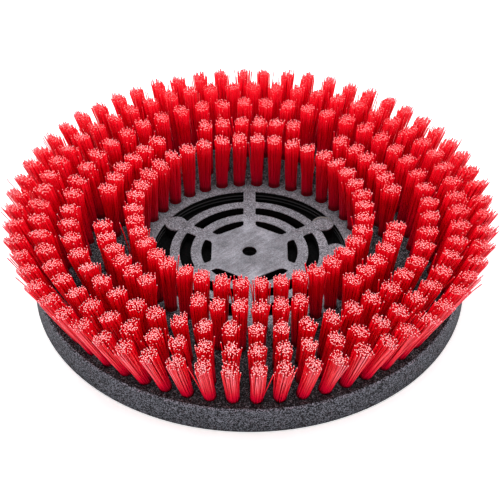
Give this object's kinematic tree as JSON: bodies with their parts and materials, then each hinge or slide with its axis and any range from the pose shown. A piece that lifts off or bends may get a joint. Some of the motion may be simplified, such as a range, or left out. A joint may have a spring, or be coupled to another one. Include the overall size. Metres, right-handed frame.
{
  "type": "rotary disc brush",
  "caption": "Rotary disc brush for car washing: round plastic block with rings of red bristle tufts, a slotted hub and a recessed drive plate with studs on its back.",
  "frame": {"origin": "centre of the back rim's plane, the face that the brush lies on", "axes": "+Z along the brush's axis, from the back towards the bristle tips"},
  "size_m": [0.3114, 0.3114, 0.0614],
  "materials": {
    "block_plastic": "matte",
    "plate_plastic": "matte",
    "bristle": "satin",
    "steel": "satin",
    "anchor_wire": "satin"
  },
  "bodies": {
    "root": {"brush_block": "block_plastic", "drive_plate": "plate_plastic", "plate_screws": "steel", "drive_stud_1": "steel", "drive_stud_2": "steel", "drive_stud_3": "steel", "anchors_outer": "anchor_wire", "anchors_second": "anchor_wire", "anchors_third": "anchor_wire", "anchors_fourth": "anchor_wire", "anchors_inner": "anchor_wire", "tufts_outer_1": "bristle", "tufts_outer_2": "bristle", "tufts_outer_3": "bristle", "tufts_outer_4": "bristle", "tufts_outer_5": "bristle", "tufts_outer_6": "bristle", "tufts_second_1": "bristle", "tufts_second_2": "bristle", "tufts_second_3": "bristle", "tufts_second_4": "bristle", "tufts_second_5": "bristle", "tufts_second_6": "bristle", "tufts_third_1": "bristle", "tufts_third_2": "bristle", "tufts_third_3": "bristle", "tufts_third_4": "bristle", "tufts_third_5": "bristle", "tufts_third_6": "bristle", "tufts_fourth_1": "bristle", "tufts_fourth_2": "bristle", "tufts_fourth_3": "bristle", "tufts_fourth_4": "bristle", "tufts_fourth_5": "bristle", "tufts_fourth_6": "bristle", "tufts_inner_1": "bristle", "tufts_inner_2": "bristle", "tufts_inner_3": "bristle", "tufts_inner_4": "bristle", "tufts_inner_5": "bristle", "tufts_inner_6": "bristle"}
  },
  "joints": []
}
